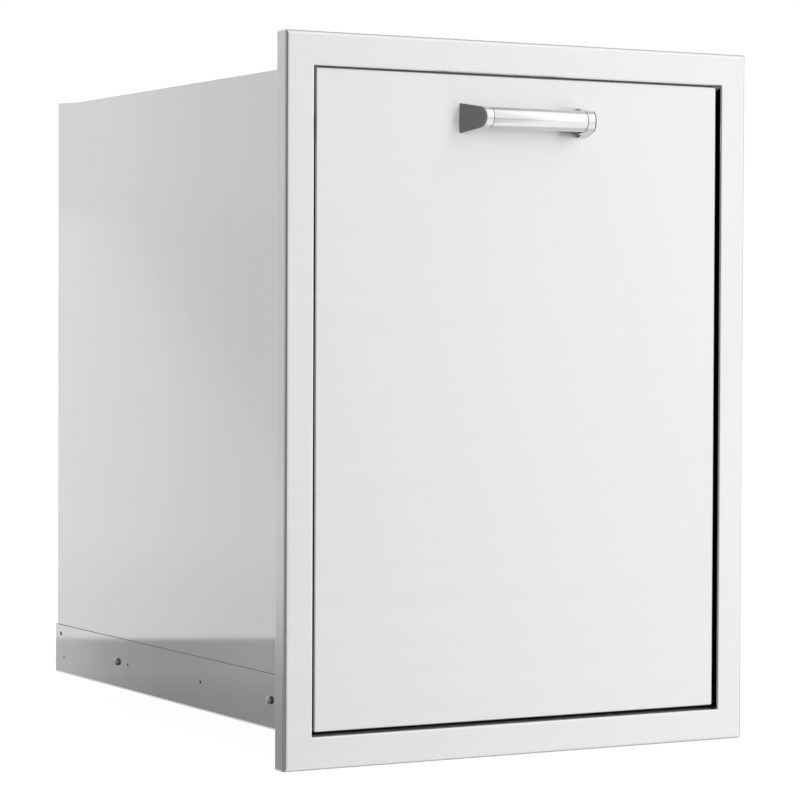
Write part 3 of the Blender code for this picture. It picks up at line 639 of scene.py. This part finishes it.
# %% Steel balls
def ball_row(bm, x, z, y_first, y_last, radius, pitch):
    count = int((y_last - y_first) / pitch) + 1
    for i in range(count):
        y = y_first + i * pitch
        bmesh.ops.create_icosphere(bm, subdivisions=2, radius=radius, matrix=Matrix.Translation((x, y, z)))
    return count


made_balls = 0
for side, suffix in ((-1, "left"), (1, "right")):
    for which, radius, sheet in (("outer", 1.65 * MM, 0.5 * MM), ("inner", 1.6 * MM, 0.5 * MM)):
        low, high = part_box(f"ball_cage_{which}_{suffix}")
        bm = bmesh.new()
        x = (low.x + high.x) / 2 - side * 0.4 * MM
        for z in (low.z + sheet / 2, high.z - sheet / 2):
            made_balls += ball_row(bm, x, z, low.y + 5 * MM, high.y - 5 * MM, radius, 8.5 * MM)
        cage = f"ball_cage_{which}_{suffix}_body"
        keep(f"steel_balls_{which}_{suffix}", bm, polish, cage, 60)
print("made", made_balls, "balls")

# %% [markdown]
# ## The bins
#
# A bin is a moulding with even walls, so it is drawn as one: level rings from the underside of its
# foot, up the outside, over the rolled rim and down the inside, joined by faces. The corners are
# round, the walls lean out a little so that the moulding leaves its mould, a step near the top
# stiffens the wall, and the foot is a ring around a raised floor.


# %% Level rings joined into a moulding
def round_ring(bm, centre, half_x, half_y, corner, z, steps=12):
    ring = []
    for quarter, (sx, sy) in enumerate(((1, 1), (-1, 1), (-1, -1), (1, -1))):
        for step in range(steps + 1):
            angle = math.radians(90) * (quarter + step / steps)
            x = centre.x + sx * (half_x - corner) + corner * math.cos(angle)
            y = centre.y + sy * (half_y - corner) + corner * math.sin(angle)
            ring.append(bm.verts.new((x, y, z)))
    return ring


WALL_RINGS = (
    # growth beyond the mouth and height above the foot, in mm: first the floor's underside and foot
    (-26, 1.3), (-23.5, 1.3), (-22.6, 0.2), (-21.8, 0), (-20, 0), (-18.6, 0.3), (-16.4, 1.9), (-14.8, 4.2),
    # up the outside, over the stiffening step
    (-14, 7.5), (-3.4, 384), (-2.9, 386.5), (-1.9, 389), (-1.75, 391), (-0.2, 452),
    # out under the rim, down inside its lip and back up over it
    (0.0, 455.2), (0.5, 456.6), (1.9, 457.3), (5.8, 457.3), (7.0, 456.9), (7.5, 455.8), (7.5, 446.4),
    (7.9, 445.9), (9.5, 445.9), (9.95, 446.4), (9.95, 456.4), (9.6, 458.4), (8.7, 459.5), (7.3, 460),
    (0.2, 460), (-1.2, 459.6), (-2.2, 458.5), (-2.6, 456.6),
    # down the inside to the floor
    (-4.25, 391), (-4.4, 389), (-5.4, 386.5), (-5.9, 384), (-16.4, 10), (-17.3, 6.4), (-19.6, 4.4),
    (-22.6, 3.8), (-26, 3.8),
)


RIM = 10.1 * MM                  # how far the rim stands out from the mouth
MOUTH_CORNER = 30 * MM


def moulded_bin(node):
    low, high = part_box(node)
    centre = (low + high) / 2
    half_x = (high.x - low.x) / 2 - RIM
    half_y = (high.y - low.y) / 2 - RIM
    bm = bmesh.new()
    rings = []
    for grow, up in WALL_RINGS:
        grow = grow * MM
        corner = MOUTH_CORNER + max(grow, -14 * MM) * 0.6
        rings.append(round_ring(bm, centre, half_x + grow, half_y + grow, corner, low.z + up * MM))
    for first, second in zip(rings, rings[1:]):
        for i in range(len(first)):
            j = (i + 1) % len(first)
            bm.faces.new((first[i], first[j], second[j], second[i]))
    bm.faces.new(rings[0])
    bm.faces.new(rings[-1])
    made = keep(node + "_moulding", bm, bin_plastic, node + "_body", 45)
    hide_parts(node)
    return made


for node in ("bin_front", "bin_rear"):
    print("made", moulded_bin(node).name)

# %% [markdown]
# ## Floor and studio
#
# The cabinet is shown on a plain pale light table, so its shadow is faint.

# %% The floor
def face_of(points, name):
    bm = bmesh.new()
    bm.faces.new([bm.verts.new(p) for p in points])
    mesh = bpy.data.meshes.new(name)
    bm.to_mesh(mesh)
    bm.free()
    made = bpy.data.objects.new(name, mesh)
    bpy.context.scene.collection.objects.link(made)
    return made


FLOOR_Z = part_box("face_frame")[0].z - 0.5 * MM
REACH = 30.0
corners = ((-REACH, -REACH), (REACH, -REACH), (REACH, REACH), (-REACH, REACH))
floor = face_of([(x, y, FLOOR_Z) for x, y in corners], "floor")
floor.visible_glossy = False
light_table, n, links = new_material("pale_light_table")
glow = n["Principled BSDF"].inputs
glow["Base Color"].default_value = (0.10, 0.10, 0.10, 1)
glow["Roughness"].default_value = 0.9
glow["Emission Color"].default_value = (1, 1, 1, 1)
glow["Emission Strength"].default_value = 0.94
dress(floor, light_table)
print("floor at", round(FLOOR_Z * 1000, 1), "mm")

# %% [markdown]
# ## Studio
#
# Metal shows what is around it, so the studio is a big soft room made in the world shader: brighter
# towards the front right, greyer at the back left, a dark flag to the left, and a greyer floor
# below the horizon. Each part of the room is a ramp over the bearing or over the height, and the
# ramps are multiplied together.

# %% Bearings and heights
world = bpy.data.worlds.new("studio")
bpy.context.scene.world = world
world.use_nodes = True
n, links = world.node_tree.nodes, world.node_tree.links
direction = add_node(n, "ShaderNodeTexCoord")
parts = add_node(n, "ShaderNodeSeparateXYZ")
links.new(direction.outputs["Generated"], parts.inputs["Vector"])
slope = parts.outputs["Z"]
forward = math_node(n, links, "MULTIPLY", parts.outputs["Y"], -1.0)
bearing = math_node(n, links, "ARCTAN2", parts.outputs["X"], forward)
turn = math_node(n, links, "MULTIPLY_ADD", bearing, 1 / (2 * math.pi), 0.5)
rise = math_node(n, links, "MULTIPLY_ADD", slope, 0.5, 0.5)
degrees_round = math_node(n, links, "MULTIPLY_ADD", turn, 360, -180)
degrees_up = math_node(n, links, "MULTIPLY", slope, math.degrees(1))


def compass(degrees):
    """Where a bearing lies on the ramps: 0 is the front, 90 the right and -90 the left."""
    return (degrees + 180) / 360


def height(upright):
    """Where a direction's vertical part, from -1 to 1, lies on the ramps."""
    return (upright + 1) / 2


# %% Ramps and how they are put together
def ramp_of(value, *pairs):
    """A grey that follows value through (place, grey) pairs in straight lines."""
    node = add_node(n, "ShaderNodeValToRGB")
    ramp = node.color_ramp
    ramp.interpolation = "LINEAR"
    while len(ramp.elements) < len(pairs):
        ramp.elements.new(0.5)
    for element, (at, grey) in zip(ramp.elements, pairs):
        element.position = at
        element.color = (grey, grey, grey, 1)
    links.new(value, node.inputs["Fac"])
    return node.outputs["Color"]


def spread(value, low, high, soft=False):
    """Stretches low to high over 0 to 1, which gives detail that a whole ramp is too coarse for."""
    node = add_node(n, "ShaderNodeMapRange", interpolation_type="SMOOTHSTEP" if soft else "LINEAR")
    node.inputs["From Min"].default_value = low
    node.inputs["From Max"].default_value = high
    links.new(value, node.inputs["Value"])
    return node.outputs["Result"]


def times(*values):
    product = values[0]
    for value in values[1:]:
        product = math_node(n, links, "MULTIPLY", product, value)
    return product


def blend_greys(low, high, share):
    node = add_node(n, "ShaderNodeMix", data_type="FLOAT")
    for socket, value in zip((node.inputs[2], node.inputs[3], node.inputs[0]), (low, high, share)):
        if isinstance(value, (int, float)):
            socket.default_value = value
        else:
            links.new(value, socket)
    return node.outputs[0]


# %% [markdown]
# The walls are set by bearing, the ceiling and the ground by height. The front ground is paler, so
# that the underside of the bar isn't black.

# %% Walls, ceiling and ground
SCALE = 2.0                      # the ramps hold half of each brightness, so that they can go over 1
FLOOR_SHARE = 0.84               # how bright the pale front ground is beside the wall above it

walls = ramp_of(
    turn,
    (compass(-180), 0.47), (compass(-160), 0.46), (compass(-150), 0.37), (compass(-130), 0.36),
    (compass(-115), 0.33), (compass(-91), 0.235), (compass(-67), 0.17), (compass(-49), 0.06),
    (compass(-38), 0.06), (compass(-25), 0.28), (compass(-8), 0.54), (compass(24), 0.57),
    (compass(38), 0.755), (compass(80), 0.72), (compass(100), 0.42), (compass(125), 0.22),
    (compass(160), 0.24), (compass(172), 0.42), (compass(180), 0.47))
ceiling = ramp_of(
    rise,
    (height(-1), 1.0), (height(0.0), 1.0), (height(0.35), 1.05), (height(0.6), 1.05),
    (height(0.85), 0.95), (height(1), 0.6))
ground = ramp_of(
    rise,
    (height(-1), 0.06), (height(-0.7), 0.08), (height(-0.35), 0.22), (height(-0.2), 0.22),
    (height(-0.15), 0.13), (height(-0.10), 0.13))
front_ground = ramp_of(
    turn,
    (compass(-180), 0.0), (compass(-60), 0.0), (compass(0), 0.48), (compass(25), 0.50), (compass(37), 1.0),
    (compass(80), 1.0), (compass(120), 0.2), (compass(180), 0.0))
low_front = ramp_of(
    rise,
    (height(-1), 0.5), (height(-0.95), 1.9), (height(-0.3), 1.9), (height(-0.17), 1.0), (height(0), 1.0))

# %% [markdown]
# The box's flat left side is almost a mirror, so it shows only ten degrees of the room behind it.
# That part gets its own finer ramps. A paler screen stands there too: its near edge leans, and it
# ends a little above the horizon.

# %% The part of the room that the box's side mirrors
BACK = (-160, -150)              # bearings, in degrees
back_wall = ramp_of(
    spread(degrees_round, *BACK),
    (0.0, 1.0), (0.14, 1.03), (0.3, 1.05), (0.42, 1.00), (0.52, 0.945), (0.64, 0.955), (0.8, 1.0), (1.0, 1.0))
rear_floor = ramp_of(
    spread(degrees_round, *BACK),
    (0.0, 1.03), (0.2, 1.03), (0.27, 0.93), (0.33, 0.58), (0.44, 0.53), (0.52, 0.58), (0.59, 0.74),
    (0.64, 0.69), (0.8, 0.6), (1.0, 0.5))
back_floor = ramp_of(
    spread(slope, -0.14, -0.10),
    (0.0, 1.0), (0.27, 1.0), (0.4, 1.04), (0.56, 1.17), (0.64, 1.25), (0.72, 1.26), (1.0, 1.26))
level = spread(slope, -0.1042, -0.1037)

SCREEN_LEAN = 0.74               # degrees of bearing for each degree of height
SCREEN_GAIN = 0.125
leaning = math_node(n, links, "MULTIPLY_ADD", degrees_up, SCREEN_LEAN, degrees_round)
screen = times(spread(leaning, -154.9, -155.8, True), spread(degrees_up, 2.6, 1.7, True))
screen_gain = math_node(n, links, "MULTIPLY_ADD", screen, SCREEN_GAIN, 1.0)
low_wall = ramp_of(
    spread(degrees_up, -6, 4),
    (0.0, 0.86), (0.08, 0.87), (0.2, 0.93), (0.46, 0.945), (0.65, 0.955), (0.77, 0.965), (0.87, 1.0),
    (1.0, 1.0))
low_gain = blend_greys(1.0, low_wall, spread(degrees_round, -149, -152))

# %% Put the room together
room = times(walls, ceiling, back_wall, screen_gain, low_gain)
dark_floor = times(ground, back_floor, rear_floor, 2.0)
near_floor = blend_greys(dark_floor, times(room, FLOOR_SHARE), times(front_ground, low_front))
strength = times(blend_greys(near_floor, room, level), SCALE)
path = add_node(n, "ShaderNodeLightPath")
seen = blend_greys(strength, 1.0, path.outputs["Is Camera Ray"])     # the camera itself sees plain white
links.new(seen, n["Background"].inputs["Strength"])
n["Background"].inputs["Color"].default_value = (1, 1, 1, 1)
print("studio made")

# %% [markdown]
# Two weak area lights add a little direct light. They are hidden from reflections, so they don't
# show as squares in the steel.


# %% Soft lights
def soft_light(name, place, towards, size, watts):
    lamp = bpy.data.lights.new(name, "AREA")
    lamp.shape = "SQUARE"
    lamp.size = size
    lamp.energy = watts
    made = bpy.data.objects.new(name, lamp)
    made.location = place
    made.rotation_euler = (Vector(towards) - Vector(place)).to_track_quat("-Z", "Y").to_euler()
    bpy.context.scene.collection.objects.link(made)
    return made


key = soft_light("key", (1.9, -2.3, 2.7), (0, -0.2, 0.3), 1.6, 9)
fill = soft_light("fill", (-2.4, -1.4, 2.2), (0, 0, 0.3), 1.4, 9)
for light in (key, fill):
    light.visible_glossy = False
print("made", key.name, "and", fill.name)

# %% [markdown]
# ## Camera
#
# The camera stands to the front left, a little above the cabinet's middle, with a long lens, so
# that upright edges stay almost parallel.

# %% The camera
EYE = Vector((-1.4896, -2.7791, 0.3839))
YAW = math.radians(28.803)       # turned to the right of straight ahead
PITCH = math.radians(-1.417)
ROLL = math.radians(0.237)
ahead = Vector((math.sin(YAW) * math.cos(PITCH), math.cos(YAW) * math.cos(PITCH), math.sin(PITCH)))
right = Vector((math.cos(YAW), -math.sin(YAW), 0))
above = right.cross(ahead)
camera = bpy.data.objects.new("camera", bpy.data.cameras.new("camera"))
camera.data.lens = 134.4
camera.data.sensor_width = 36
camera.data.clip_end = 200
turn_right = right * math.cos(ROLL) + above * math.sin(ROLL)
turn_up = above * math.cos(ROLL) - right * math.sin(ROLL)
camera.matrix_world = Matrix((
    (turn_right.x, turn_up.x, -ahead.x, EYE.x),
    (turn_right.y, turn_up.y, -ahead.y, EYE.y),
    (turn_right.z, turn_up.z, -ahead.z, EYE.z),
    (0, 0, 0, 1)))
bpy.context.scene.collection.objects.link(camera)
bpy.context.scene.camera = camera
bpy.context.scene.view_settings.view_transform = "Standard"
bpy.context.scene.view_settings.look = "None"
print("camera", round((EYE - Vector((0, 0, 0.3))).length, 2), "m from the cabinet")
